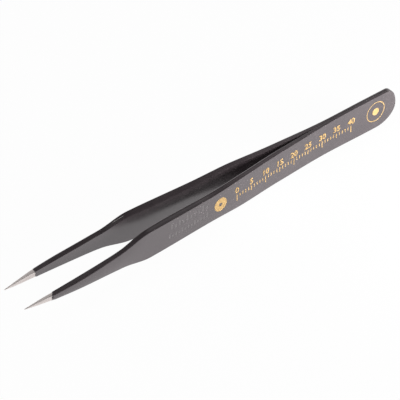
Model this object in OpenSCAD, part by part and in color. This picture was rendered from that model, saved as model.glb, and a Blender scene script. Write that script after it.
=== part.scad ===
// Anti-static tweezers: two spring steel leaves, welded at the tail and coated.
// X runs from the points to the tail, Y is the closing direction and Z is up.
// The tweezers lie on the long edges of their leaves.
// Every place named "_at" is a distance from the points, "_back" one from the tail end.
// The coat ends a little further back on the right leaf than on the left one.

/* [Overall] */
// Length from the points to the tail end, over the coat
length = 120; // [112:1:140]
// Thickness of the dark coat
coat = 0.1; // [0.06:0.01:0.15]
// Length of bare ground steel at the left point
left_bare_tip = 7.5; // [6:0.1:8.5]
// Length of bare ground steel at the right point
right_bare_tip = 8.7; // [7:0.1:12]

/* [Width of a leaf] */
// Width of the very point
tip_w = 0.2; // [0.16:0.02:0.6]
// Width half-way up the point
half_point_w = 1.2; // [0.9:0.05:1.3]
// Width where the point meets the jaw
point_w = 1.6; // [1.4:0.05:2]
// Width where the jaw runs into the shoulder
neck_w = 4.7; // [3.6:0.1:5.6]
// Width at the shoulder
shoulder_w = 8; // [7.4:0.1:9]
// Width at the narrowest place of the finger grip
grip_w = 7.8; // [7:0.1:8.4]
// Width behind the finger grip
rear_w = 8.9; // [8.4:0.1:9.6]
// Width of the springy stretch
spring_w = 9.4; // [8.9:0.1:9.8]
// Width of the tail
tail_w = 10.1; // [9.8:0.1:12]
// Length of the rounding at the tail's upper corner
tail_round_top = 2.8; // [2:0.1:5]
// Length of the rounding at the tail's lower corner
tail_round_low = 6.6; // [4:0.1:7]

/* [Places along a leaf] */
// Half-way up the point
half_point_at = 5; // [4:0.1:5.8]
// Where the point meets the jaw
point_at = 8.8; // [8.6:0.1:11]
// Where the jaw runs into the shoulder
neck_at = 28; // [26:0.5:31]
// The shoulder
shoulder_at = 36.5; // [35:0.5:39]
// The narrowest place of the finger grip
grip_at = 55; // [50:0.5:58]
// Behind the finger grip
rear_at = 68; // [62:0.5:72]
// Middle of the springy stretch
spring_back = 30; // [26:0.5:34]
// Where the tail reaches its full width
tail_back = 10; // [8:0.5:13]
// Where the weld holds the leaves together
weld_back = 21; // [20:0.5:23]
// Line about which a leaf bends when it is squeezed
flex_back = 32; // [29:0.5:34]

/* [Opening between the leaves] */
// Gap between the two points
tip_gap = 8.3; // [7.6:0.1:9.4]
// Gap at the heel of the jaws
heel_gap = 8; // [7.6:0.1:8.8]
// Gap at the front of the finger grip
grip_gap = 5.5; // [5:0.1:6.4]
// Gap behind the finger grip
rear_gap = 4; // [3.5:0.1:4.6]
// Gap at the bend where the leaves come together
bend_gap = 1.4; // [1.3:0.1:2.2]
// Heel of the jaws
heel_at = 25; // [23:0.5:27]
// Front of the finger grip
grip_front_at = 42; // [40:0.5:45]
// Rear of the finger grip
grip_rear_at = 64; // [60:0.5:66]
// Bend where the leaves come together
bend_back = 40; // [37:0.5:42]

/* [Thickness of the steel] */
// At the very point
tip_t = 0.16; // [0.12:0.02:0.4]
// Half-way up the point
half_point_t = 0.72; // [0.5:0.02:0.86]
// Where the point meets the jaw
point_t = 1.2; // [0.9:0.05:1.3]
// Along the jaw
jaw_t = 1.45; // [1.2:0.05:1.6]
// Where the jaw runs into the shoulder
neck_t = 1.2; // [1:0.05:1.4]
// At the front of the finger grip
grip_t = 1.8; // [1.5:0.05:2.1]
// At the narrowest place of the finger grip
waist_t = 1.6; // [1.4:0.05:1.9]
// Behind the finger grip
rear_t = 1.3; // [1.15:0.05:1.5]
// At the bend where the leaves come together
bend_t = 1.15; // [0.9:0.05:1.3]
// At the tail
tail_t = 0.64; // [0.5:0.02:0.8]
// Where the jaw reaches its thickness
jaw_at = 16; // [14:0.5:20]
// Where the tail reaches its thickness
thin_back = 15; // [13:0.5:17]

/* [Spot welds] */
// Radius of a weld nugget
weld_r = 1.5; // [1:0.1:2.5]
// Depth that a nugget reaches into each leaf
weld_depth = 0.3; // [0.2:0.05:0.4]
// Distance between the two nuggets
weld_pitch = 8; // [6:0.5:9]
// The nugget nearer the tail end
weld_last_back = 7; // [6:0.5:8]

/* [Printing on the left leaf] */
// Thickness of the print
ink = 0.02; // [0.01:0.01:0.04]
// Outer radius of the solid ring
dot_r = 2; // [1.5:0.1:2.4]
// Radius of its bare centre
dot_hole_r = 0.5; // [0.3:0.1:0.8]
// Distance of the solid ring's centre from the rule's zero mark
dot_gap = 5.5; // [4.5:0.1:7]
// Last mark of the rule
rule_back = 15.5; // [15:0.5:17]
// Length of the rule in whole millimetres
rule_len = 40; // [30:5:40]
// Width of a mark
tick_w = 0.25; // [0.2:0.01:0.35]
// Length of a millimetre mark
tick_short = 1; // [0.6:0.1:1.2]
// Length of a five millimetre mark
tick_mid = 1.5; // [1.2:0.1:1.6]
// Length of a ten millimetre mark
tick_long = 2; // [1.7:0.1:2.4]
// Height of the rule's numbers
digit_h = 1.9; // [1.4:0.1:2.2]
// Width of one digit
digit_w = 1.1; // [0.8:0.1:1.2]
// Centre of the thin ring at the tail
ring_back = 7; // [6.5:0.1:8]
// Height of that centre above the leaf's centre line
ring_up = 0.4; // [0:0.1:0.6]
// Outer radius of the thin ring
ring_r = 3.1; // [2.6:0.1:3.4]
// Width of the thin ring's line
ring_w = 0.3; // [0.2:0.05:0.5]
// Radius of the disc inside the thin ring
ring_dot_r = 1.1; // [0.8:0.1:1.4]

/* [Hidden] */

// Slot at the bend line, so that an arm can turn about it
slot = 0.1;
// Parts into which each stretch between two named places is divided
plan_steps = 3;
side_steps = 5;
round_steps = 10;
// Height of the leaves' centre line above the surface that they lie on
mid_z = tail_w / 2 + coat;
// Longer than any leaf is wide or thick
beyond = 4 * tail_w;
// Space between two digits of a number, and from the numbers to the marks
digit_gap = 0.3;
row_gap = 0.45;
// Number of marks between two numbers
number_step = 5;

steel_end = length - coat;
flex_at = length - flex_back;
weld_at = length - weld_back;
arm_end = flex_at - slot / 2;
root_start = flex_at + slot / 2;
rule_at = length - rule_back - rule_len;
dot_at = rule_at - dot_gap;
ring_at = length - ring_back;
// The last mark of the rule that lies whole on the arm
arm_marks = floor(arm_end - tick_w / 2 - rule_at);

// Each list pairs a distance from the points with the size there
gap_places = [[0, tip_gap / 2], [heel_at, heel_gap / 2], [grip_front_at, grip_gap / 2],
              [grip_rear_at, rear_gap / 2], [length - bend_back, bend_gap / 2],
              [weld_at, 0], [length, 0]];
steel_places = [[0, tip_t], [half_point_at, half_point_t], [point_at, point_t],
                [jaw_at, jaw_t], [neck_at, neck_t], [grip_front_at, grip_t],
                [grip_at, waist_t], [rear_at, rear_t], [length - bend_back, bend_t],
                [length - thin_back, tail_t], [length, tail_t]];
width_places = [[0, tip_w / 2], [half_point_at, half_point_w / 2], [point_at, point_w / 2],
                [neck_at, neck_w / 2], [shoulder_at, shoulder_w / 2], [grip_at, grip_w / 2],
                [rear_at, rear_w / 2], [length - spring_back, spring_w / 2],
                [length - tail_back, tail_w / 2], [length, tail_w / 2]];

// Smooth curve through a list of places, with no overshoot between them
function rise(s, i) = (s[i + 1][1] - s[i][1]) / (s[i + 1][0] - s[i][0]);
function blend(a, b) = a * b <= 0 ? 0 : 2 * a * b / (a + b);
function slope(s, i) = i == 0 ? rise(s, 0)
                     : i == len(s) - 1 ? rise(s, i - 1) : blend(rise(s, i - 1), rise(s, i));
function stretch(s, d, i = 0) = i >= len(s) - 2 || d < s[i + 1][0] ? i : stretch(s, d, i + 1);
function through(s, d) =
    let (i = stretch(s, d), h = s[i + 1][0] - s[i][0], t = (d - s[i][0]) / h)
    s[i][1] * (1 + 2 * t) * pow(1 - t, 2) + s[i + 1][1] * (3 - 2 * t) * t * t
    + h * (slope(s, i) * t * pow(1 - t, 2) + slope(s, i + 1) * t * t * (t - 1));

// Distances from the points at which an outline has a corner
function divided(s, n) = [for (i = [0 : len(s) - 2], k = [0 : n - 1])
                          s[i][0] + (s[i + 1][0] - s[i][0]) * k / n];
function within(ds, from, to) = concat([from], [for (d = ds) if (d > from && d < to) d], [to]);

function inner_y(d) = through(gap_places, d);
function outer_y(d) = inner_y(d) + through(steel_places, d);

// Distance of an edge from the centre line, on the steel or with a skin on it. The edge
// is rounded over the given length, down to the centre line at the tail's tip.
function edge_z(d, skin, round) =
    let (u = (d - steel_end + round) / (round + skin),
         w = through(width_places, min(d, length)) + skin)
    u <= 0 ? w : w * sqrt(max(0, 1 - u * u));
function edge_stops(from, to, skin, round) =
    let (straight = steel_end - round)
    to < straight ? within(side_ds, from, to)
                  : concat(within(side_ds, from, straight), [for (k = [1 : round_steps - 1])
                           straight + (round + skin) * sin(90 * k / round_steps)]);

plan_ds = divided([for (d = [0, half_point_at, point_at, jaw_at, heel_at, neck_at, shoulder_at,
                             grip_front_at, grip_at, grip_rear_at, length - bend_back,
                             flex_at, weld_at, length - thin_back, length]) [d, 0]],
                  plan_steps);
side_ds = divided(width_places, side_steps);

// Seen from above: the left leaf between two places, or the leaf with a skin on it
module plan(from, to, skin) {
    ds = within(plan_ds, from, to);
    inner = [for (d = ds) [d, -max(0, inner_y(d) - skin)]];
    outer = [for (i = [len(ds) - 1 : -1 : 0]) [ds[i], -outer_y(ds[i]) - skin]];
    polygon(concat(inner, outer));
}

// Seen from the side: the leaf between two places, with the rounded tail if it reaches it
module side(from, to, skin) {
    top_ds = edge_stops(from, to, skin, tail_round_top);
    low_ds = edge_stops(from, to, skin, tail_round_low);
    upper = [for (d = top_ds) [d, edge_z(d, skin, tail_round_top)]];
    lower = [for (i = [len(low_ds) - 1 : -1 : 0])
             [low_ds[i], -edge_z(low_ds[i], skin, tail_round_low)]];
    polygon(concat(upper, to < steel_end ? [] : [[steel_end + skin, 0]], lower));
}

// A stretch of the left leaf: its plan and its side view, both cut from the same bar
module stretch_of_leaf(from, to, skin) {
    translate([-length / 2, 0, mid_z]) intersection() {
        translate([0, 0, -beyond / 2]) linear_extrude(beyond) plan(from, to, skin);
        translate([0, beyond / 2, 0]) rotate([90, 0, 0])
            linear_extrude(beyond) side(from, to, skin);
    }
}

// The weld nuggets: round discs half in each leaf
module nuggets() {
    for (k = [0, 1]) translate([length / 2 - weld_last_back - k * weld_pitch, 0, mid_z])
        rotate([90, 0, 0]) cylinder(r = weld_r, h = 2 * weld_depth, center = true, $fn = 48);
}

module point(bare) stretch_of_leaf(0, bare, 0);

module leaf_arm(bare) stretch_of_leaf(bare, arm_end, 0);

module leaf_root() difference() {
    stretch_of_leaf(root_start, steel_end, 0);
    nuggets();
}

module coat_arm(bare) difference() {
    stretch_of_leaf(bare, arm_end, coat);
    stretch_of_leaf(0, arm_end, 0);
}

module coat_root() difference() {
    stretch_of_leaf(root_start, length, coat);
    stretch_of_leaf(root_start, steel_end, 0);
}

module left_point() color("silver") point(left_bare_tip);
module left_leaf_arm() color("silver") leaf_arm(left_bare_tip);
module left_leaf_root() color("silver") leaf_root();
module left_coat_arm() color([0.13, 0.12, 0.13]) coat_arm(left_bare_tip);
module left_coat_root() color([0.13, 0.12, 0.13]) coat_root();
module right_point() color("silver") mirror([0, 1, 0]) point(right_bare_tip);
module right_leaf_arm() color("silver") mirror([0, 1, 0]) leaf_arm(right_bare_tip);
module right_leaf_root() color("silver") mirror([0, 1, 0]) leaf_root();
module right_coat_arm()
    color([0.13, 0.12, 0.13]) mirror([0, 1, 0]) coat_arm(right_bare_tip);
module right_coat_root() color([0.13, 0.12, 0.13]) mirror([0, 1, 0]) coat_root();
module spot_welds() color("dimgray") nuggets();

// A layer of ink on the left leaf's outer face, with the coat's own corners
module ink_layer(from, to) {
    ds = within(plan_ds, from, to);
    lower = [for (d = ds) [d, -outer_y(d) - coat]];
    upper = [for (i = [len(ds) - 1 : -1 : 0]) [ds[i], -outer_y(ds[i]) - coat - ink]];
    linear_extrude(beyond, center = true) polygon(concat(lower, upper));
}

// Flat artwork, drawn as the left leaf is seen from outside, laid on that leaf as ink
module printed(from, to) {
    color("goldenrod") translate([-length / 2, 0, mid_z]) intersection() {
        ink_layer(from, to);
        rotate([90, 0, 0]) linear_extrude(beyond) children();
    }
}

module flat_ring(r, hole_r) difference() {
    circle(r = r, $fn = 48);
    circle(r = hole_r, $fn = 48);
}

// Bars of each digit: top, upper left, upper right, middle, lower left, lower right, bottom
digit_bars = [[1, 1, 1, 0, 1, 1, 1], [0, 0, 1, 0, 0, 1, 0], [1, 0, 1, 1, 1, 0, 1],
              [1, 0, 1, 1, 0, 1, 1], [0, 1, 1, 1, 0, 1, 0], [1, 1, 0, 1, 0, 1, 1]];

module bar(column, row, wide, tall) {
    translate([column * (digit_w - tick_w) / 2, row * (digit_h - tick_w) / 2])
        square([wide, tall], center = true);
}

module digit(n) {
    b = digit_bars[n];
    upright = (digit_h + tick_w) / 2;
    if (b[0]) bar(0, 1, digit_w, tick_w);
    if (b[1]) bar(-1, 0.5, tick_w, upright);
    if (b[2]) bar(1, 0.5, tick_w, upright);
    if (b[3]) bar(0, 0, digit_w, tick_w);
    if (b[4]) bar(-1, -0.5, tick_w, upright);
    if (b[5]) bar(1, -0.5, tick_w, upright);
    if (b[6]) bar(0, -1, digit_w, tick_w);
}

module number(n) {
    pitch = digit_w + digit_gap;
    if (n < 10) digit(n);
    else {
        translate([-pitch / 2, 0]) digit(floor(n / 10));
        translate([pitch / 2, 0]) digit(n % 10);
    }
}

// Marks hang below the rule's line and numbers stand above it
module rule(first, last) {
    for (k = [first : last]) {
        tall = k % 10 == 0 ? tick_long : k % 5 == 0 ? tick_mid : tick_short;
        translate([rule_at + k - tick_w / 2, -tall]) square([tick_w, tall]);
        if (k % number_step == 0) translate([rule_at + k, row_gap + digit_h / 2]) number(k);
    }
}

module grip_ring_print()
    printed(point_at, arm_end) translate([dot_at, 0]) flat_ring(dot_r, dot_hole_r);

module rule_arm_print()
    printed(point_at, arm_end) rule(0, arm_marks);

module rule_root_print()
    printed(root_start, length) rule(arm_marks + 1, rule_len);

module tail_ring_print()
    printed(root_start, length) translate([ring_at, ring_up]) {
        flat_ring(ring_r, ring_r - ring_w);
        circle(r = ring_dot_r, $fn = 48);
    }

left_point();
left_leaf_arm();
left_leaf_root();
left_coat_arm();
left_coat_root();
right_point();
right_leaf_arm();
right_leaf_root();
right_coat_arm();
right_coat_root();
spot_welds();
grip_ring_print();
rule_arm_print();
rule_root_print();
tail_ring_print();
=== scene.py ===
import math
from bisect import bisect_right

import bmesh
import bpy
from mathutils import Matrix, Vector, noise


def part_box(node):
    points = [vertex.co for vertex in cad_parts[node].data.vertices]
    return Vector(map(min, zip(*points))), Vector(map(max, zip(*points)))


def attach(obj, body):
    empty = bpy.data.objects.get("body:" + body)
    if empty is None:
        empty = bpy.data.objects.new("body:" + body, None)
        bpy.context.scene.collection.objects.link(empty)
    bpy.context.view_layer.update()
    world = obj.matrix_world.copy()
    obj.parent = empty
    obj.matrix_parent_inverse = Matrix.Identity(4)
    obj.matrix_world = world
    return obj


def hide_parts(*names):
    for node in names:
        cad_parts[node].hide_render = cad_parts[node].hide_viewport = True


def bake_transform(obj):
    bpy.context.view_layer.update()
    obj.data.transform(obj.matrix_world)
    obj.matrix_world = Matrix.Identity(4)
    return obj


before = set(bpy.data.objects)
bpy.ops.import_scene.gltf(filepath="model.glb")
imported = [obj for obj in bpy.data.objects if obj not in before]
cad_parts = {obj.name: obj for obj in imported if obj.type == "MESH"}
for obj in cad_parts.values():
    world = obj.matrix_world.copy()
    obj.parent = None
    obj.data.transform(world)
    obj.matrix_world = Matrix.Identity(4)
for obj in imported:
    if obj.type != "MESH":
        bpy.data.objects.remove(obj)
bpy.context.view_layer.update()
print("frame loaded:", len(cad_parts), "CAD nodes")

mm = 0.001

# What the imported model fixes, in metres
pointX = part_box("left_point")[0].x
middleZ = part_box("spot_welds")[0].z / 2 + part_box("spot_welds")[1].z / 2
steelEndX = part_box("left_leaf_root")[1].x
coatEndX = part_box("left_coat_root")[1].x

# A leaf, in millimetres. A list pairs distances from the point with the size there.
leaf = {
    "length": (coatEndX - pointX) / mm,
    "coat": (coatEndX - steelEndX) / mm,
    "bareTip": {side: (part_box(f"{side}_coat_arm")[0].x - pointX) / mm
                for side in ("left", "right")},
    "halfGap": [(0, 4.15), (25, 4), (42, 2.75), (64, 2), (80, 0.7), (99, 0), (120, 0)],
    "thickness": [(0, 0.16), (5, 0.72), (8.8, 1.2), (16, 1.45), (28, 1.2), (42, 1.8),
                  (55, 1.6), (68, 1.3), (80, 1.15), (105, 0.64), (120, 0.64)],
    "halfWidth": [(0, 0.1), (5, 0.6), (8.8, 0.8), (28, 2.35), (36.5, 4), (55, 3.9),
                  (68, 4.45), (90, 4.7), (110, 5.05), (120, 5.05)],
    "tailRound": {"top": 2.8, "low": 6.6},
    "sealedGap": 0.02,  # steel stays this far behind the joint face, under a closed coat
    "crown": 0.085,  # how far the outer face of a jaw bulges, as a share of its half width
    "jawStretch": (-20, 38, 12),  # the jaw's start, end and fade
    "leanStretch": (16, 12),  # where the long edges begin to lean, and the fade
    "leanHalfGap": 2.5,  # where the leaves are closer than this, the lean shrinks with the gap
    "bendFrom": 100,  # the spring bends between these two places
    "bendTo": 76,
}


# Smooth curve through a list of places, with no overshoot between them
def slopeAt(places, i):
    rises = [(b[1] - a[1]) / (b[0] - a[0]) for a, b in zip(places, places[1:])]
    if i in (0, len(rises)):
        return rises[max(i - 1, 0)]
    before, after = rises[i - 1], rises[i]
    return 0 if before * after <= 0 else 2 * before * after / (before + after)


def sizeAt(name, d):
    places = leaf[name]
    i = min(max(bisect_right([p[0] for p in places], d) - 1, 0), len(places) - 2)
    (d0, s0), (d1, s1) = places[i], places[i + 1]
    h = d1 - d0
    t = (d - d0) / h
    bend = slopeAt(places, i) * t * (1 - t) ** 2 + slopeAt(places, i + 1) * t * t * (t - 1)
    return s0 * (1 + 2 * t) * (1 - t) ** 2 + s1 * (3 - 2 * t) * t * t + h * bend


def innerFace(d, skin):
    return max(0 if skin > 0 else leaf["sealedGap"], sizeAt("halfGap", d) - skin)


def outerFace(d, skin):
    return sizeAt("halfGap", d) + sizeAt("thickness", d) + skin


def inFrame(d, across, z, side):
    return Vector((d * mm + pointX, side * across * mm, z * mm + middleZ))


def edgeHeight(d, skin, corner):
    size = leaf["tailRound"][corner]
    share = (d - leaf["length"] + leaf["coat"] + size) / (size + skin)
    height = sizeAt("halfWidth", min(d, leaf["length"])) + skin
    return height * math.sqrt(max(0, 1 - max(0, share) ** 2))


# Both long edges of a leaf seen from the side: places with their outward direction
def edgeLines(stations, skin, tailSteps=24):
    start = leaf["length"] - leaf["coat"] - leaf["tailRound"]["low"]
    reach = leaf["tailRound"]["low"] + skin
    places = [d for d in stations if d < start]
    places += [start + reach * math.sin(math.pi / 2 * k / tailSteps)
               for k in range(tailSteps + 1)]
    lines = []
    for corner in ("top", "low"):
        points = [(d, edgeHeight(d, skin, corner)) for d in places]
        line = []
        for i, (d, z) in enumerate(points):
            before, after = points[max(i - 1, 0)], points[min(i + 1, len(points) - 1)]
            along = Vector((after[0] - before[0], after[1] - before[1])).normalized()
            out = Vector((-along.y, along.x)) if i < len(points) - 1 else Vector((1, 0))
            line.append((d, z, out))
        lines.append(line)
    return list(zip(*lines))


def soft(share):
    t = min(max(share, 0), 1)
    return t * t * (3 - 2 * t)


# 1 inside a stretch of the leaf, fading out over its ends
def between(d, start, end, fade):
    return soft((d - start) / fade) * soft((end - d) / fade)


# Over one long edge, from the inner face to the outer one
def edgeSection(d, z, out, skin, look):
    near, far = innerFace(d, skin), outerFace(d, skin)
    thickShare, wideShare = look["roundLimit"]
    halfWidth = sizeAt("halfWidth", min(d, leaf["length"])) + skin
    room = min(thickShare * (far - near), wideShare * halfWidth)
    rIn = min(look["innerRound"], room)
    rOut = min(look["outerRound"] + look["jawRound"] * between(d, *leaf["jawStretch"]), room)
    section = []
    for k in range(look["roundSteps"] + 1):
        a = math.pi / 2 * k / look["roundSteps"]
        inset = rIn * (1 - math.sin(a))
        x = d - inset * out.x
        y = innerFace(x, skin) + rIn * (1 - math.cos(a))
        section.append((x, y, z - inset * out.y, math.sin(2 * a)))
    wall = far - rOut - near - rIn
    for place in look["wallPlaces"]:
        section.append((d, near + rIn + place * min(1, wall), z, 0))
    for k in range(look["roundSteps"], -1, -1):
        a = math.pi / 2 * k / look["roundSteps"]
        inset = rOut * (1 - math.sin(a))
        x = d - inset * out.x
        y = outerFace(x, skin) - rOut * (1 - math.cos(a))
        section.append((x, y, z - inset * out.y, math.sin(2 * a)))
    leanStart, leanFade = leaf["leanStretch"]
    lean = look["lean"] * min(1, sizeAt("halfGap", d) / leaf["leanHalfGap"])
    lean *= soft((d - leanStart) / leanFade)
    bead = look["bead"] * between(d, *look["beadStretch"]) * min(1, wall)
    result = []
    for x, y, h, e in section:
        place = (y - near - rIn) / min(1, wall)
        drop = look["innerDrop"] * (1 - min(max(place / look["crest"], 0), 1))
        drop += soft((place - look["crest"]) / look["beadWidth"])
        result.append((x, y, h + lean * (y - (near + far) / 2) - bead * drop, e))
    return result


# One closed loop round a leaf: up the inner face, over the edge, down the outer face
def loopRound(place, skin, look):
    top, low = place
    bulge = (leaf["crown"] * between(top[0], *leaf["jawStretch"])
             * sizeAt("halfWidth", min(top[0], leaf["length"])))
    upper = edgeSection(*top, skin, look)
    lower = [(x, y, -z, e) for x, y, z, e in reversed(edgeSection(*low, skin, look))]
    faces = []
    for start, end, steps, surface, rise in (
            (lower[-1], upper[0], look["innerSteps"], innerFace, 0),
            (upper[-1], lower[0], look["outerSteps"], outerFace, bulge)):
        face = []
        for share in faceShares(steps):
            x, z = (start[i] + (end[i] - start[i]) * share for i in (0, 2))
            face.append((x, surface(x, skin) + rise * 4 * share * (1 - share), z, 0))
        faces.append(face)
    return faces[0] + upper + faces[1] + lower


# Shares of a face's height at which it is divided, with a line close to each edge
def faceShares(steps, close=0.006):
    return [close] + [k / steps for k in range(1, steps)] + [1 - close]


def divided(stretches):
    stations = []
    for start, end, step in stretches:
        count = max(1, round((end - start) / step))
        stations += [start + (end - start) * k / count for k in range(count)]
    return stations


def newPiece(name, bm):
    mesh = bpy.data.meshes.new(name)
    bm.to_mesh(mesh)
    bm.free()
    piece = bpy.data.objects.new(name, mesh)
    bpy.context.scene.collection.objects.link(piece)
    return piece


# A skin through a row of loops. A loop that has shrunk to a point closes the end.
def skinOver(name, loops, side, weld=2e-7, shortest=1e-8):
    bm = bmesh.new()
    edge = bm.verts.layers.float.new("edge")
    rows = []
    for loop in loops:
        row = []
        for d, across, z, mask in loop:
            vert = bm.verts.new(inFrame(d, across, z, side))
            vert[edge] = mask
            row.append(vert)
        rows.append(row)
    for a, b in zip(rows, rows[1:]):
        for j in range(len(a)):
            k = (j + 1) % len(a)
            bm.faces.new((a[j], a[k], b[k], b[j]))
    bmesh.ops.remove_doubles(bm, verts=bm.verts, dist=weld)
    bmesh.ops.dissolve_degenerate(bm, edges=bm.edges, dist=shortest)
    bmesh.ops.recalc_face_normals(bm, faces=bm.faces)
    piece = newPiece(name, bm)
    piece.data.shade_smooth()
    return piece


def shrunk(loop, share, d):
    middle = [sum(p[i] for p in loop) / len(loop) for i in (1, 2)]
    return [(d, middle[0] + (y - middle[0]) * share, middle[1] + (z - middle[1]) * share, e)
            for _, y, z, e in loop]


# Shader helpers
def addNode(tree, kind, **settings):
    node = tree.nodes.new(kind)
    for name, value in settings.items():
        setattr(node, name, value)
    return node


def setInputs(node, values):
    for name, value in values.items():
        node.inputs[name].default_value = value


def newMaterial(name):
    material = bpy.data.materials.new(name)
    material.use_nodes = True
    tree = material.node_tree
    tree.nodes.clear()
    shader = addNode(tree, "ShaderNodeBsdfPrincipled")
    output = addNode(tree, "ShaderNodeOutputMaterial")
    tree.links.new(shader.outputs["BSDF"], output.inputs["Surface"])
    return material, tree, shader


def newGroup(name, inputs, outputs):
    group = bpy.data.node_groups.new(name, "ShaderNodeTree")
    for label, kind, value in inputs:
        socket = group.interface.new_socket(label, in_out="INPUT", socket_type=kind)
        if value is not None:
            socket.default_value = value
    for label, kind in outputs:
        group.interface.new_socket(label, in_out="OUTPUT", socket_type=kind)
    return group, addNode(group, "NodeGroupInput"), addNode(group, "NodeGroupOutput")


def useGroup(tree, group, values):
    node = addNode(tree, "ShaderNodeGroup", node_tree=group)
    setInputs(node, values)
    return node


filmNoise = {
    "wave": {"Detail": 2.0, "Roughness": 0.45},
    "grain": {"Detail": 3.0, "Roughness": 0.6},
    "cloud": {"Scale": 140.0, "Detail": 4.0, "Roughness": 0.6},
}
patchNoise = {"Detail": 5.0, "Roughness": 0.65}


# Cloudy relief of a sprayed or printed film: coarse waves with fine grain on them
def makeFilmGrain():
    group, given, result = newGroup("FilmGrain", [
        ("Position", "NodeSocketVector", None),
        ("Wave Scale", "NodeSocketFloat", 900.0),
        ("Grain Scale", "NodeSocketFloat", 4200.0),
        ("Grain Share", "NodeSocketFloat", 0.45),
    ], [("Height", "NodeSocketFloat"), ("Cloud", "NodeSocketFloat")])
    links = group.links
    wave = addNode(group, "ShaderNodeTexNoise")
    setInputs(wave, filmNoise["wave"])
    grain = addNode(group, "ShaderNodeTexNoise")
    setInputs(grain, filmNoise["grain"])
    cloud = addNode(group, "ShaderNodeTexNoise")
    setInputs(cloud, filmNoise["cloud"])
    mix = addNode(group, "ShaderNodeMix", data_type="FLOAT")
    for texture in (wave, grain, cloud):
        links.new(given.outputs["Position"], texture.inputs["Vector"])
    links.new(given.outputs["Wave Scale"], wave.inputs["Scale"])
    links.new(given.outputs["Grain Scale"], grain.inputs["Scale"])
    links.new(given.outputs["Grain Share"], mix.inputs["Factor"])
    links.new(wave.outputs["Fac"], mix.inputs["A"])
    links.new(grain.outputs["Fac"], mix.inputs["B"])
    links.new(mix.outputs["Result"], result.inputs["Height"])
    links.new(cloud.outputs["Fac"], result.inputs["Cloud"])
    return group


# Where an edge is rubbed: the edge mask broken up by noise. A mask over 1 marks a painted
# highlight, and its part over 1 is the share of light colour painted there.
def makeEdgeWear():
    group, given, result = newGroup("EdgeWearAndHighlight", [
        ("Position", "NodeSocketVector", None),
        ("Edge", "NodeSocketFloat", 0.0),
        ("Scale", "NodeSocketFloat", 300.0),
        ("Start", "NodeSocketFloat", 0.55),
        ("End", "NodeSocketFloat", 0.75),
    ], [("Wear", "NodeSocketFloat"), ("PaintedHighlight", "NodeSocketFloat")])
    links = group.links
    patches = addNode(group, "ShaderNodeTexNoise")
    setInputs(patches, patchNoise)
    band = addNode(group, "ShaderNodeMapRange", interpolation_type="SMOOTHSTEP")
    product = addNode(group, "ShaderNodeMath", operation="MULTIPLY", use_clamp=True)
    # The mask's part over 1 gives the share of the colour painted as a highlight
    beyondOne = addNode(group, "ShaderNodeMath", operation="SUBTRACT", use_clamp=True)
    beyondOne.inputs[1].default_value = 1.0
    links.new(given.outputs["Position"], patches.inputs["Vector"])
    links.new(given.outputs["Scale"], patches.inputs["Scale"])
    links.new(patches.outputs["Fac"], band.inputs["Value"])
    links.new(given.outputs["Start"], band.inputs["From Min"])
    links.new(given.outputs["End"], band.inputs["From Max"])
    links.new(band.outputs["Result"], product.inputs[0])
    links.new(given.outputs["Edge"], product.inputs[1])
    links.new(given.outputs["Edge"], beyondOne.inputs[0])
    links.new(product.outputs["Value"], result.inputs["Wear"])
    links.new(beyondOne.outputs["Value"], result.inputs["PaintedHighlight"])
    return group


filmGrain = makeFilmGrain()
edgeWearAndHighlight = makeEdgeWear()


def mixColours(tree, factor, a, b):
    mix = addNode(tree, "ShaderNodeMix", data_type="RGBA")
    tree.links.new(factor, mix.inputs["Factor"])
    for socket, value in zip((mix.inputs[6], mix.inputs[7]), (a, b)):
        if isinstance(value, tuple):
            socket.default_value = value
        else:
            tree.links.new(value, socket)
    return mix.outputs[2]


def remap(tree, value, low, high, start=0.0, end=1.0):
    node = addNode(tree, "ShaderNodeMapRange")
    setInputs(node, {"From Min": start, "From Max": end, "To Min": low, "To Max": high})
    tree.links.new(value, node.inputs["Value"])
    return node.outputs["Result"]


def bumpFrom(tree, height, distance, shader):
    bump = addNode(tree, "ShaderNodeBump")
    setInputs(bump, {"Strength": 1.0, "Distance": distance})
    tree.links.new(height, bump.inputs["Height"])
    tree.links.new(bump.outputs["Normal"], shader.inputs["Normal"])


noiseRange = (0.3, 0.7)  # where most values of a noise lie

coatFinish = {
    "colour": (0.038, 0.030, 0.033, 1),
    "thinColour": (0.052, 0.042, 0.045, 1),
    # light colour painted as a highlight: a streak on one top edge, and a share on the floors of
    # the pressed strokes
    "rubbedColour": (0.11, 0.10, 0.096, 1),
    "paintedHighlightColour": (0.30, 0.29, 0.28, 1),
    "ior": 2.1,
    "glossTint": (1.0, 0.945, 0.968, 1),
    "roughness": (0.17, 0.25),
    "relief": 0.0000035,
    "grain": {"Wave Scale": 1100.0, "Grain Scale": 4800.0},
    "wear": {"Scale": 800.0, "Start": 0.6, "End": 0.85},
}


def makeCoatMaterial():
    material, tree, shader = newMaterial("darkCoat")
    links = tree.links
    place = addNode(tree, "ShaderNodeTexCoord").outputs["Object"]
    edge = addNode(tree, "ShaderNodeAttribute", attribute_name="edge").outputs["Fac"]
    grain = useGroup(tree, filmGrain, coatFinish["grain"])
    wear = useGroup(tree, edgeWearAndHighlight, coatFinish["wear"])
    for group in (grain, wear):
        links.new(place, group.inputs["Position"])
    links.new(edge, wear.inputs["Edge"])
    body = mixColours(tree, remap(tree, grain.outputs["Cloud"], 0, 1, *noiseRange),
                      coatFinish["colour"], coatFinish["thinColour"])
    rubbed = mixColours(tree, wear.outputs["Wear"], body, coatFinish["rubbedColour"])
    # Painted highlight: the light colour is laid where the mask goes over 1
    colour = mixColours(tree, wear.outputs["PaintedHighlight"], rubbed, coatFinish["paintedHighlightColour"])
    links.new(colour, shader.inputs["Base Color"])
    low, high = coatFinish["roughness"]
    links.new(remap(tree, grain.outputs["Cloud"], low, high, *noiseRange),
              shader.inputs["Roughness"])
    shader.inputs["IOR"].default_value = coatFinish["ior"]
    shader.inputs["Specular Tint"].default_value = coatFinish["glossTint"]
    bumpFrom(tree, grain.outputs["Height"], coatFinish["relief"], shader)
    return material


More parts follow.
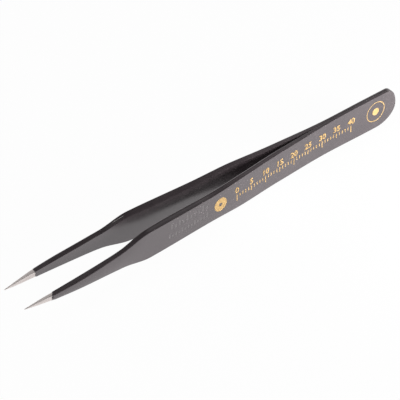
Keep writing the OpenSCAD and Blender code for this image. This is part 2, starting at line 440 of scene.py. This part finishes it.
steelFinish = {
    "colour": (0.84, 0.775, 0.755, 1),
    "dullColour": (0.74, 0.685, 0.665, 1),
    "roughness": (0.52, 0.64),
    "relief": 0.0000015,
    "scratchStretch": (160.0, 2600.0, 2600.0),
    "scratches": {"Scale": 1.0, "Detail": 5.0, "Roughness": 0.7},
    "dullShare": 0.6,
    "dullRange": (0.35, 0.75),
    "wear": {"Scale": 900.0, "Start": 0.35, "End": 0.6},
}


def makeSteelMaterial():
    material, tree, shader = newMaterial("groundSteel")
    links = tree.links
    place = addNode(tree, "ShaderNodeTexCoord").outputs["Object"]
    stretch = addNode(tree, "ShaderNodeMapping")
    stretch.inputs["Scale"].default_value = steelFinish["scratchStretch"]
    links.new(place, stretch.inputs["Vector"])
    scratches = addNode(tree, "ShaderNodeTexNoise")
    setInputs(scratches, steelFinish["scratches"])
    links.new(stretch.outputs["Vector"], scratches.inputs["Vector"])
    edge = addNode(tree, "ShaderNodeAttribute", attribute_name="edge").outputs["Fac"]
    wear = useGroup(tree, edgeWearAndHighlight, steelFinish["wear"])
    links.new(place, wear.inputs["Position"])
    links.new(edge, wear.inputs["Edge"])
    dull = remap(tree, scratches.outputs["Fac"], 0, steelFinish["dullShare"],
                 *steelFinish["dullRange"])
    ground = mixColours(tree, dull, steelFinish["colour"], steelFinish["dullColour"])
    colour = mixColours(tree, wear.outputs["Wear"], ground, steelFinish["colour"])
    links.new(colour, shader.inputs["Base Color"])
    low, high = steelFinish["roughness"]
    links.new(remap(tree, scratches.outputs["Fac"], low, high, *noiseRange),
              shader.inputs["Roughness"])
    shader.inputs["Metallic"].default_value = 1.0
    bumpFrom(tree, scratches.outputs["Fac"], steelFinish["relief"], shader)
    return material


inkFinish = {
    "colour": (0.52, 0.34, 0.135, 1),
    "thinColour": (0.32, 0.20, 0.082, 1),
    "roughness": (0.42, 0.58),
    "relief": 0.000004,
    "grain": {"Wave Scale": 2600.0, "Grain Scale": 9000.0},
    "thinRange": (0.46, 0.68),
}


def makeInkMaterial():
    material, tree, shader = newMaterial("goldPrint")
    links = tree.links
    place = addNode(tree, "ShaderNodeTexCoord").outputs["Object"]
    grain = useGroup(tree, filmGrain, inkFinish["grain"])
    links.new(place, grain.inputs["Position"])
    thin = remap(tree, grain.outputs["Height"], 0, 1, *inkFinish["thinRange"])
    links.new(mixColours(tree, thin, inkFinish["colour"], inkFinish["thinColour"]),
              shader.inputs["Base Color"])
    low, high = inkFinish["roughness"]
    links.new(remap(tree, grain.outputs["Cloud"], low, high, *noiseRange),
              shader.inputs["Roughness"])
    bumpFrom(tree, grain.outputs["Height"], inkFinish["relief"], shader)
    return material


darkCoat = makeCoatMaterial()
groundSteel = makeSteelMaterial()
goldPrint = makeInkMaterial()
print("materials made")


# How the leaves are dressed, in millimetres. A stretch has a start, an end and a step or fade.
coatLook = {
    "innerRound": 0.14,
    "outerRound": 0.12,
    "jawRound": 0.17,  # how much rounder the outer edges of a jaw are
    "roundLimit": (0.42, 0.6),  # a radius stays under these shares of thickness and half width
    "roundSteps": 6,
    # Where a long edge is divided between its rounds, and where its bead and a painted highlight
    # lie
    "wallPlaces": (0.07, 0.14, 0.22, 0.31, 0.42, 0.52, 0.62, 0.76, 0.90),
    "beadStretch": (28, 84, 12),
    "crest": 0.14,  # the bead's highest place
    "innerDrop": 1.3,  # how far the bead falls from there to the inner face, in its heights
    "beadWidth": 0.38,
    # A light streak painted along one long edge as a highlight:
    "scuffPlace": 0.76,  # one of the wall places
    "scuffReach": 0.03,
    "scuffMask": 3,  # its mean mask, where 2 and more is all in the painted highlight's colour
    "scuffGrain": 3,  # how finely it breaks up along the edge
    "rimSkin": 0.02,  # share of the film's thickness left at its very end
    "rimLength": 0.5,
    "rimShares": (0.0, 0.1, 0.3, 0.6),  # where the rim is divided
    "rag": 0.22,  # how far the end of the film runs forward and back
    "ragFineness": (3, 11),  # of the coarse and the fine waves of that end
    "fineRag": 0.5,  # height of the fine waves next to the coarse ones
    "ragBack": 0.05,
    "waves": 0.006,  # unevenness of the faces
    "waveLength": 7.0,
    "outerWaves": (0, 9, 9),  # where the noise for the outer face is read
    "insideStretches": [(0, 106, 4)],
}

# lean is how far the long edges slope outward, where the leaves stand apart. The bead is the
# coat's build-up along the inner edge. cut is how much further back the coat ends on the inner
# face than on the outer one. The left leaf is divided finely where it carries pressed strokes.
# scuff is where a light streak is painted as a highlight on the top edge: only on the right
# leaf's shoulder
coatSides = {
    "left": {"innerSteps": 16, "outerSteps": 88, "cut": 0.6, "lean": 0, "bead": 0.04,
             "pressed": True, "scuff": (0, 0), "seed": 3.0,
             "stretches": [(0.5, 12, 0.5), (12, 32, 0.7), (32, 48.5, 0.09), (48.5, 104.5, 0.7)]},
    "right": {"innerSteps": 24, "outerSteps": 16, "cut": 0, "lean": 0.15, "bead": 0,
              "pressed": False, "scuff": (31.6, 34.8), "seed": 11.0,
              "stretches": [(0.5, 12, 0.5), (12, 104.5, 0.7)]},
}

steelLook = {
    "innerRound": 0.07,
    "outerRound": 0.1,
    "jawRound": 0,
    "roundSteps": 4,
    "wallPlaces": (0.5,),
    "bead": 0,
    "innerSteps": 8,
    "outerSteps": 8,
    "stretches": [(0.08, 1, 0.15), (1, 10, 0.4), (10, 45, 1), (45, 116, 1.5)],
    "tipCaps": [(0.0, 0.0), (0.0, 0.5), (0.03, 0.85)],  # distance from the point, and size
}


def makeSteel(name, sideName, side):
    look = {**coatLook, **coatSides[sideName], **steelLook}
    loops = [loopRound(place, 0, look) for place in edgeLines(divided(look["stretches"]), 0)]
    caps = [shrunk(loops[0], share, d) for d, share in look["tipCaps"]]
    return skinOver(name, caps + loops, side)


# The end of a film runs unevenly round the leaf. share is how much of that a loop follows.
def ragged(loop, look, share):
    result = []
    for j, (d, y, z, mask) in enumerate(loop):
        a = 2 * math.pi * j / len(loop)
        coarse, fine = (noise.noise(Vector((r * math.cos(a), r * math.sin(a), look["seed"])))
                        for r in look["ragFineness"])
        depth = (y - innerFace(d, 0)) / (outerFace(d, 0) - innerFace(d, 0))
        shift = look["rag"] * (coarse + look["fineRag"] * fine) + look["ragBack"]
        shift += look["cut"] * (0.5 - depth)
        result.append((d + share * shift, y, z, mask))
    return result


# Plain strokes pressed into the finger grip of the left leaf, under its coat, with a light tone
# painted on their floors as a highlight
pressMarks = {
    "depth": 0.07,
    "flank": 0.18,
    "paintedStrokeHighlight": 0.13,  # share of the painted highlight colour on their floor
    "stroke": 0.5,
    "heights": (1, 0.6, 0.8, 0.6),  # shares of the row's height, in turn
    "rows": [
        # start, end, spacing, foot, height
        (42.8, 55.5, 1.25, 0.8, 2.1),
        (42.2, 55.2, 1.0, -1.7, 1.5),
    ],
}


def pressedAt(d, z):
    flank, depth = pressMarks["flank"], 0
    for start, end, spacing, foot, height in pressMarks["rows"]:
        if start < d < end:
            k, along = divmod(d - start, spacing)
            tall = height * pressMarks["heights"][int(k) % len(pressMarks["heights"])]
            across = soft((pressMarks["stroke"] / 2 - abs(along - spacing / 2)) / flank + 0.5)
            depth += across * soft((z - foot) / flank) * soft((foot + tall - z) / flank)
    return depth * pressMarks["depth"]


# The faces of a sprayed leaf are never quite flat. A mask over 1 marks a painted highlight: a
# light streak on one edge, and a lighter tone on the floors of the pressed strokes.
def wavy(loop, look, outside=0.99):
    result = []
    highlightStart, highlightEnd = look["scuff"]
    for d, y, z, mask in loop:
        span = outerFace(d, 0) - innerFace(d, 0)
        share = min(max((y - innerFace(d, 0)) / span, 0), 1)
        spot = Vector((d, z, look["seed"])) / look["waveLength"]
        outerSpot = spot + Vector(look["outerWaves"])
        lift = noise.noise(spot) * (1 - share) + noise.noise(outerSpot) * share
        y += look["waves"] * (lift - 1) * (2 * share - 1)
        if share > outside and mask == 0 and look["pressed"]:
            pressed = pressedAt(d, z)
            y -= pressed
            # Painted highlight: the stroke floors get a share of the light colour, for the light
            # their relief catches
            if pressed > 0:
                mask = 1 + pressMarks["paintedStrokeHighlight"] * pressed / pressMarks["depth"]
        across = y - innerFace(d, leaf["coat"]) - look["innerRound"]
        onPaintedHighlight = abs(across - look["scuffPlace"]) < look["scuffReach"]
        # Painted highlight: a light streak along the top edge, where a highlight falls
        if z > 0 and onPaintedHighlight and highlightStart < d < highlightEnd:
            grain = noise.noise(Vector((look["scuffGrain"] * d, 0, look["seed"])))
            mask = look["scuffMask"] * (1 + grain)
        result.append((d, y, z, mask))
    return result


# A closed sleeve: its inner wall lies on the steel, its rim is thin and ragged
def makeCoat(name, sideName, side):
    look = {**coatLook, **coatSides[sideName]}
    coat, start = leaf["coat"], leaf["bareTip"][sideName]
    insideLook = {**look, "innerRound": steelLook["innerRound"],
                  "outerRound": steelLook["outerRound"], "jawRound": 0, "bead": 0}
    stations = [start + d for d in divided(look["insideStretches"])]
    inside = [loopRound(place, 0, insideLook) for place in edgeLines(stations, 0)]
    inside[0] = ragged(inside[0], look, 1)
    loops = list(reversed(inside))
    for share in look["rimShares"]:
        skin = coat * (look["rimSkin"] + (1 - look["rimSkin"]) * math.sin(share * math.pi / 2))
        d = start + share * look["rimLength"]
        place = edgeLines([d, d + 1], skin)[0]
        loops.append(ragged(loopRound(place, skin, look), look, 1 - share))
    stations = [start + d for d in divided(look["stretches"])]
    loops += [wavy(loopRound(place, coat, look), look) for place in edgeLines(stations, coat)]
    return skinOver(name, loops, side)


pieces = {}
for sideName, side in (("left", -1), ("right", 1)):
    steel = makeSteel(f"{sideName}_steel_leaf", sideName, side)
    coat = makeCoat(f"{sideName}_coat", sideName, side)
    steel.data.materials.append(groundSteel)
    coat.data.materials.append(darkCoat)
    pieces[f"{sideName}Steel"], pieces[f"{sideName}Coat"] = steel, coat
    print(sideName, "leaf:", len(steel.data.polygons), "steel faces,",
          len(coat.data.polygons), "coat faces")


# Geometry node helpers
def newTree(name, inputs):
    tree = bpy.data.node_groups.new(name, "GeometryNodeTree")
    for label, kind in inputs:
        tree.interface.new_socket(label, in_out="INPUT", socket_type=kind)
    tree.interface.new_socket("Geometry", in_out="OUTPUT", socket_type="NodeSocketGeometry")
    return tree, addNode(tree, "NodeGroupInput"), addNode(tree, "NodeGroupOutput")


def runTree(piece, tree, values):
    modifier = piece.modifiers.new(tree.name, "NODES")
    modifier.node_group = tree
    for item in tree.interface.items_tree:
        if item.item_type == "SOCKET" and item.name in values:
            modifier[item.identifier] = values[item.name]
    piece.update_tag()
    bpy.context.view_layer.update()
    evaluated = piece.evaluated_get(bpy.context.evaluated_depsgraph_get())
    mesh = bpy.data.meshes.new_from_object(evaluated)
    piece.modifiers.clear()
    piece.data = mesh
    return piece


printFilm = {"ink": 0.02, "sink": 0.004}  # its height, and how deep it starts in the coat


# Lays flat artwork, drawn in X and Z, on a leaf as a closed film of ink
def makeLayInk(rayStart=0.1, rayLength=1.0, weldDistance=1e-7):
    tree, given, result = newTree("LayInk", [
        ("Geometry", "NodeSocketGeometry"), ("Coat", "NodeSocketObject"),
        ("Ink", "NodeSocketFloat"), ("Sink", "NodeSocketFloat"),
        ("Material", "NodeSocketMaterial")])
    links = tree.links
    coat = addNode(tree, "GeometryNodeObjectInfo", transform_space="ORIGINAL")
    ray = addNode(tree, "GeometryNodeRaycast")
    ray.inputs["Ray Length"].default_value = rayLength
    ray.inputs["Ray Direction"].default_value = (0, 1, 0)
    start = addNode(tree, "ShaderNodeVectorMath", operation="ADD")
    start.inputs[1].default_value = (0, -rayStart, 0)
    position = addNode(tree, "GeometryNodeInputPosition")
    depth = addNode(tree, "ShaderNodeCombineXYZ")
    place = addNode(tree, "ShaderNodeVectorMath", operation="ADD")
    lay = addNode(tree, "GeometryNodeSetPosition")
    thicken = addNode(tree, "GeometryNodeExtrudeMesh", mode="FACES")
    thicken.inputs["Individual"].default_value = False
    outward = addNode(tree, "ShaderNodeCombineXYZ")
    outward.inputs["Y"].default_value = -1.0
    under = addNode(tree, "GeometryNodeFlipFaces")
    join = addNode(tree, "GeometryNodeJoinGeometry")
    weld = addNode(tree, "GeometryNodeMergeByDistance")
    weld.inputs["Distance"].default_value = weldDistance
    realize = addNode(tree, "GeometryNodeRealizeInstances")
    paint = addNode(tree, "GeometryNodeSetMaterial")
    links.new(given.outputs["Coat"], coat.inputs["Object"])
    links.new(coat.outputs["Geometry"], ray.inputs["Target Geometry"])
    links.new(position.outputs["Position"], start.inputs[0])
    links.new(start.outputs["Vector"], ray.inputs["Source Position"])
    links.new(given.outputs["Sink"], depth.inputs["Y"])
    links.new(ray.outputs["Hit Position"], place.inputs[0])
    links.new(depth.outputs["Vector"], place.inputs[1])
    links.new(given.outputs["Geometry"], lay.inputs["Geometry"])
    links.new(place.outputs["Vector"], lay.inputs["Position"])
    links.new(lay.outputs["Geometry"], thicken.inputs["Mesh"])
    links.new(outward.outputs["Vector"], thicken.inputs["Offset"])
    links.new(given.outputs["Ink"], thicken.inputs["Offset Scale"])
    links.new(lay.outputs["Geometry"], under.inputs["Mesh"])
    links.new(thicken.outputs["Mesh"], join.inputs["Geometry"])
    links.new(under.outputs["Mesh"], join.inputs["Geometry"])
    links.new(join.outputs["Geometry"], weld.inputs["Geometry"])
    links.new(weld.outputs["Geometry"], realize.inputs["Geometry"])
    links.new(realize.outputs["Geometry"], paint.inputs["Geometry"])
    links.new(given.outputs["Material"], paint.inputs["Material"])
    links.new(paint.outputs["Geometry"], result.inputs["Geometry"])
    return tree


ruleLook = {
    "zeroFromTail": 55.5,  # the zero mark, from the tail end
    "marks": 41,
    "markWidth": 0.25,
    "shortMark": 1.0,
    "middleMark": 1.5,
    "longMark": 2.0,
    "middleStep": 5,
    "longStep": 10,
    "numberStep": 5,
    "numberHeight": 1.9,
    "numberBold": 0.03,  # share of the letter size by which a stroke is thickened
    "numberSmooth": 4,
    "rowGap": 0.45,
}


# The marks of the rule, drawn flat, with longer ones at two steps
def makeRuleMarks():
    tree, given, result = newTree("RuleMarks", [
        ("Numbers", "NodeSocketObject"), ("Marks", "NodeSocketInt"),
        ("Spacing", "NodeSocketFloat"), ("Start", "NodeSocketVector"),
        ("Mark Width", "NodeSocketFloat"), ("Short", "NodeSocketFloat"),
        ("Middle", "NodeSocketFloat"), ("Long", "NodeSocketFloat"),
        ("Material", "NodeSocketMaterial")])
    links = tree.links
    step = addNode(tree, "ShaderNodeCombineXYZ")
    line = addNode(tree, "GeometryNodeMeshLine", mode="OFFSET")
    index = addNode(tree, "GeometryNodeInputIndex")
    links.new(given.outputs["Spacing"], step.inputs["X"])
    links.new(given.outputs["Marks"], line.inputs["Count"])
    links.new(given.outputs["Start"], line.inputs["Start Location"])
    links.new(step.outputs["Vector"], line.inputs["Offset"])
    tall = given.outputs["Short"]
    for every, label in ((ruleLook["middleStep"], "Middle"), (ruleLook["longStep"], "Long")):
        remainder = addNode(tree, "ShaderNodeMath", operation="MODULO")
        remainder.inputs[1].default_value = every
        whole = addNode(tree, "ShaderNodeMath", operation="LESS_THAN")
        whole.inputs[1].default_value = 0.5
        choose = addNode(tree, "GeometryNodeSwitch", input_type="FLOAT")
        links.new(index.outputs["Index"], remainder.inputs[0])
        links.new(remainder.outputs["Value"], whole.inputs[0])
        links.new(whole.outputs["Value"], choose.inputs["Switch"])
        links.new(tall, choose.inputs["False"])
        links.new(given.outputs[label], choose.inputs["True"])
        tall = choose.outputs["Output"]
    bar = addNode(tree, "GeometryNodeMeshGrid")
    setInputs(bar, {"Size X": 1.0, "Size Y": 1.0, "Vertices X": 2, "Vertices Y": 5})
    hang = addNode(tree, "GeometryNodeTransform")
    setInputs(hang, {"Translation": (0, 0, -0.5), "Rotation": (math.pi / 2, 0, 0)})
    size = addNode(tree, "ShaderNodeCombineXYZ")
    size.inputs["Y"].default_value = 1.0
    repeat = addNode(tree, "GeometryNodeInstanceOnPoints")
    numbers = addNode(tree, "GeometryNodeObjectInfo", transform_space="ORIGINAL")
    join = addNode(tree, "GeometryNodeJoinGeometry")
    realize = addNode(tree, "GeometryNodeRealizeInstances")
    paint = addNode(tree, "GeometryNodeSetMaterial")
    links.new(bar.outputs["Mesh"], hang.inputs["Geometry"])
    links.new(given.outputs["Mark Width"], size.inputs["X"])
    links.new(tall, size.inputs["Z"])
    links.new(line.outputs["Mesh"], repeat.inputs["Points"])
    links.new(hang.outputs["Geometry"], repeat.inputs["Instance"])
    links.new(size.outputs["Vector"], repeat.inputs["Scale"])
    links.new(given.outputs["Numbers"], numbers.inputs["Object"])
    links.new(repeat.outputs["Instances"], join.inputs["Geometry"])
    links.new(numbers.outputs["Geometry"], join.inputs["Geometry"])
    links.new(join.outputs["Geometry"], realize.inputs["Geometry"])
    links.new(realize.outputs["Geometry"], paint.inputs["Geometry"])
    links.new(given.outputs["Material"], paint.inputs["Material"])
    links.new(paint.outputs["Geometry"], result.inputs["Geometry"])
    return tree


layInk = makeLayInk()
ruleMarks = makeRuleMarks()


# The rule's numbers as one flat mesh, standing on the row above the marks
def makeNumbers(zeroX):
    bm = bmesh.new()
    for value in range(0, ruleLook["marks"], ruleLook["numberStep"]):
        curve = bpy.data.curves.new("ruleNumber", "FONT")
        curve.body = str(value)
        curve.align_x = "CENTER"
        curve.offset = ruleLook["numberBold"]
        curve.resolution_u = ruleLook["numberSmooth"]
        number = bpy.data.objects.new("ruleNumber", curve)
        bpy.context.scene.collection.objects.link(number)
        bpy.context.view_layer.update()
        evaluated = number.evaluated_get(bpy.context.evaluated_depsgraph_get())
        mesh = bpy.data.meshes.new_from_object(evaluated)
        heights = [v.co.y for v in mesh.vertices]
        scale = ruleLook["numberHeight"] * mm / (max(heights) - min(heights))
        foot = middleZ + ruleLook["rowGap"] * mm - min(heights) * scale
        mesh.transform(Matrix.Translation((zeroX + value * mm, 0, foot))
                       @ Matrix.Rotation(math.pi / 2, 4, "X") @ Matrix.Scale(scale, 4))
        bm.from_mesh(mesh)
        bpy.data.objects.remove(number)
        bpy.data.curves.remove(curve)
        bpy.data.meshes.remove(mesh)
    return newPiece("ruleNumbers", bm)


def layOn(piece, coat):
    return runTree(piece, layInk, {"Coat": coat, "Ink": printFilm["ink"] * mm,
                                   "Sink": printFilm["sink"] * mm, "Material": goldPrint})


def makeRule():
    zeroX = coatEndX - ruleLook["zeroFromTail"] * mm
    numbers = makeNumbers(zeroX)
    rule = newPiece("rule_print", bmesh.new())
    runTree(rule, ruleMarks, {
        "Numbers": numbers, "Marks": ruleLook["marks"], "Spacing": mm,
        "Start": (zeroX, 0, middleZ), "Mark Width": ruleLook["markWidth"] * mm,
        "Short": ruleLook["shortMark"] * mm, "Middle": ruleLook["middleMark"] * mm,
        "Long": ruleLook["longMark"] * mm, "Material": goldPrint})
    bpy.data.objects.remove(numbers)
    return layOn(rule, pieces["leftCoat"])


# A flat ring or disc in X and Z, facing the left leaf's outer side
def flatRing(bm, x, z, radius, hole, steps=56):
    rings = []
    for r in (hole, (hole + radius) / 2, radius):
        rings.append([bm.verts.new((x + r * math.cos(2 * math.pi * k / steps), 0,
                                    z + r * math.sin(2 * math.pi * k / steps)))
                      for k in range(steps)])
    for inner, outer in zip(rings, rings[1:]):
        for k in range(steps):
            n = (k + 1) % steps
            bm.faces.new((inner[k], outer[k], outer[n], inner[n]))
    if hole == 0:
        bmesh.ops.remove_doubles(bm, verts=rings[0], dist=1e-6)
    for face in bm.faces:
        face.normal_update()
        if face.normal.y > 0:
            face.normal_flip()


gripRing = {"fromTail": 61.0, "radius": 2.0, "hole": 0.5}
tailRing = {"fromTail": 7.0, "up": 0.4, "radius": 3.1, "line": 0.2, "disc": 1.1}


def makeGripRing():
    bm = bmesh.new()
    flatRing(bm, coatEndX - gripRing["fromTail"] * mm, middleZ,
             gripRing["radius"] * mm, gripRing["hole"] * mm)
    return layOn(newPiece("grip_ring", bm), pieces["leftCoat"])


def makeTailRing():
    bm = bmesh.new()
    x = coatEndX - tailRing["fromTail"] * mm
    z = middleZ + tailRing["up"] * mm
    outer = tailRing["radius"] * mm
    flatRing(bm, x, z, outer, outer - tailRing["line"] * mm)
    flatRing(bm, x, z, tailRing["disc"] * mm, 0)
    return layOn(newPiece("tail_ring", bm), pieces["leftCoat"])


pieces["rule"] = makeRule()
pieces["gripRing"] = makeGripRing()
pieces["tailRing"] = makeTailRing()
print("prints laid on the left leaf:", len(pieces["rule"].data.polygons), "rule faces")

# Hide the CAD parts that the new pieces replace, fix the pieces in place, tie the rings to the
# bodies they move with, and give the welds the steel finish
for sideName in ("left", "right"):
    steel, coat = pieces[f"{sideName}Steel"], pieces[f"{sideName}Coat"]
    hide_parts(f"{sideName}_point", f"{sideName}_leaf_arm", f"{sideName}_leaf_root")
    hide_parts(f"{sideName}_coat_arm", f"{sideName}_coat_root")
    for piece in (steel, coat):
        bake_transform(piece)
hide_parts("rule_arm_print", "rule_root_print")
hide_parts("grip_ring_print")
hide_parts("tail_ring_print")
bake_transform(pieces["rule"])
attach(pieces["gripRing"], "left_arm")
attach(pieces["tailRing"], "tail")

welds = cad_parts["spot_welds"]
welds.data.materials.clear()
welds.data.materials.append(groundSteel)
print("pieces tied to the bodies")

studio = {
    "floorSize": 2.0,
    "floorColour": (0.86, 0.86, 0.86, 1),
    "floorGlow": (1, 1, 1, 1),
    "floorWhite": 0.97,  # how much of the floor is plain white to the camera and in gloss
    "backdropTop": (0.36, 0.76),  # heights at which the white backdrop fades out upward
    "backdropSide": (-0.1, 0.3),  # depths at which it fades in behind the object
    "ceiling": 0.04,
    "front": 0.08,  # brightness of the room on the camera's side
    "worldLight": 0.4,
    "lamps": [
        # name, place, aim, size, power, spread in degrees, and whether gloss shows it
        ("key", (-0.50, 0.22, 0.65), (0, 0, 0), 0.6, 3.2, 180, True),
        ("front", (-0.20, -0.60, 0.10), (0, 0, 0), 0.3, 2.0, 180, False),
        ("tail", (0.10, -0.085, 0.03), (0.05, 0, 0.005), 0.05, 0.24, 180, False),
        ("waist", (0.013, -0.042, 0.095), (0.013, 0, 0.005), 0.02, 0.0012, 25, False),
    ],
}


# 1 where the camera sees a surface directly, in gloss or through glass
def seenAsBackground(tree):
    path = addNode(tree, "ShaderNodeLightPath")
    seen = path.outputs["Is Camera Ray"]
    for name in ("Is Glossy Ray", "Is Transmission Ray"):
        either = addNode(tree, "ShaderNodeMath", operation="MAXIMUM")
        tree.links.new(seen, either.inputs[0])
        tree.links.new(path.outputs[name], either.inputs[1])
        seen = either.outputs["Value"]
    return seen


def makeFloor():
    bm = bmesh.new()
    bmesh.ops.create_grid(bm, x_segments=8, y_segments=8, size=studio["floorSize"])
    floor = newPiece("floor", bm)
    material = bpy.data.materials.new("paleFloor")
    material.use_nodes = True
    tree = material.node_tree
    tree.nodes.clear()
    links = tree.links
    matt = addNode(tree, "ShaderNodeBsdfDiffuse")
    matt.inputs["Color"].default_value = studio["floorColour"]
    glow = addNode(tree, "ShaderNodeEmission")
    setInputs(glow, {"Color": studio["floorGlow"], "Strength": 1.0})
    share = addNode(tree, "ShaderNodeMath", operation="MULTIPLY")
    share.inputs[1].default_value = studio["floorWhite"]
    mix = addNode(tree, "ShaderNodeMixShader")
    output = addNode(tree, "ShaderNodeOutputMaterial")
    links.new(seenAsBackground(tree), share.inputs[0])
    links.new(share.outputs["Value"], mix.inputs["Fac"])
    links.new(matt.outputs["BSDF"], mix.inputs[1])
    links.new(glow.outputs["Emission"], mix.inputs[2])
    links.new(mix.outputs["Shader"], output.inputs["Surface"])
    floor.data.materials.append(material)


def makeWorld():
    world = bpy.data.worlds.new("studio")
    bpy.context.scene.world = world
    world.use_nodes = True
    tree = world.node_tree
    tree.nodes.clear()
    links = tree.links
    way = addNode(tree, "ShaderNodeTexCoord")
    split = addNode(tree, "ShaderNodeSeparateXYZ")
    links.new(way.outputs["Generated"], split.inputs["Vector"])
    low, high = studio["backdropTop"]
    backdrop = addNode(tree, "ShaderNodeMapRange", interpolation_type="SMOOTHSTEP")
    setInputs(backdrop, {"From Min": low, "From Max": high,
                         "To Min": 1.0, "To Max": studio["ceiling"]})
    links.new(split.outputs["Z"], backdrop.inputs["Value"])
    behind = addNode(tree, "ShaderNodeMapRange", interpolation_type="SMOOTHSTEP")
    nearSide, farSide = studio["backdropSide"]
    setInputs(behind, {"From Min": nearSide, "From Max": farSide})
    links.new(split.outputs["Y"], behind.inputs["Value"])
    room = addNode(tree, "ShaderNodeMix", data_type="FLOAT")
    room.inputs["A"].default_value = studio["front"]
    links.new(behind.outputs["Result"], room.inputs["Factor"])
    links.new(backdrop.outputs["Result"], room.inputs["B"])
    plain = addNode(tree, "ShaderNodeMix", data_type="FLOAT")
    plain.inputs["B"].default_value = 1.0
    path = addNode(tree, "ShaderNodeLightPath")
    links.new(path.outputs["Is Camera Ray"], plain.inputs["Factor"])
    links.new(room.outputs["Result"], plain.inputs["A"])
    light = addNode(tree, "ShaderNodeMapRange")
    setInputs(light, {"To Min": studio["worldLight"], "To Max": 1.0})
    links.new(seenAsBackground(tree), light.inputs["Value"])
    glow = addNode(tree, "ShaderNodeBackground")
    output = addNode(tree, "ShaderNodeOutputWorld")
    links.new(plain.outputs["Result"], glow.inputs["Color"])
    links.new(light.outputs["Result"], glow.inputs["Strength"])
    links.new(glow.outputs["Background"], output.inputs["Surface"])


def makeLamps():
    for name, place, aim, size, power, spread, inGloss in studio["lamps"]:
        light = bpy.data.lights.new(name, "AREA")
        light.shape = "SQUARE"
        light.size = size
        light.energy = power
        light.spread = math.radians(spread)
        lamp = bpy.data.objects.new(name, light)
        lamp.location = place
        lamp.rotation_euler = (Vector(aim) - Vector(place)).to_track_quat("-Z", "Y").to_euler()
        lamp.visible_camera = False
        lamp.visible_glossy = inGloss
        bpy.context.scene.collection.objects.link(lamp)


# Found by fitting the leaf's outline to the photograph. Lengths are in millimetres.
camera = {
    "azimuth": -37.54,
    "elevation": 41.202,
    "roll": -0.754,
    "distance": 500.0,
    "target": (-4.521, 0, 5.945),
    "focalPixels": 2019.5,
    "photoPixels": 400,
    "sensor": 36,
    "clip": (10, 20000),
}


def makeCamera():
    a, e, r = (math.radians(camera[name]) for name in ("azimuth", "elevation", "roll"))
    back = Vector((math.sin(a) * math.cos(e), -math.cos(a) * math.cos(e), math.sin(e)))
    level = Vector((math.cos(a), math.sin(a), 0))
    up = back.cross(level)
    right = level * math.cos(r) + up * math.sin(r)
    up = up * math.cos(r) - level * math.sin(r)
    data = bpy.data.cameras.new("camera")
    data.sensor_width = camera["sensor"]
    data.lens = camera["focalPixels"] / camera["photoPixels"] * camera["sensor"]
    data.clip_start, data.clip_end = (reach * mm for reach in camera["clip"])
    view = bpy.data.objects.new("camera", data)
    place = (Vector(camera["target"]) + back * camera["distance"]) * mm
    turn = Matrix((right, up, back)).transposed().to_4x4()
    view.matrix_world = Matrix.Translation(place) @ turn
    bpy.context.scene.collection.objects.link(view)
    bpy.context.scene.camera = view


makeFloor()
makeWorld()
makeLamps()
makeCamera()
bpy.context.scene.view_settings.view_transform = "Standard"
print("studio set")
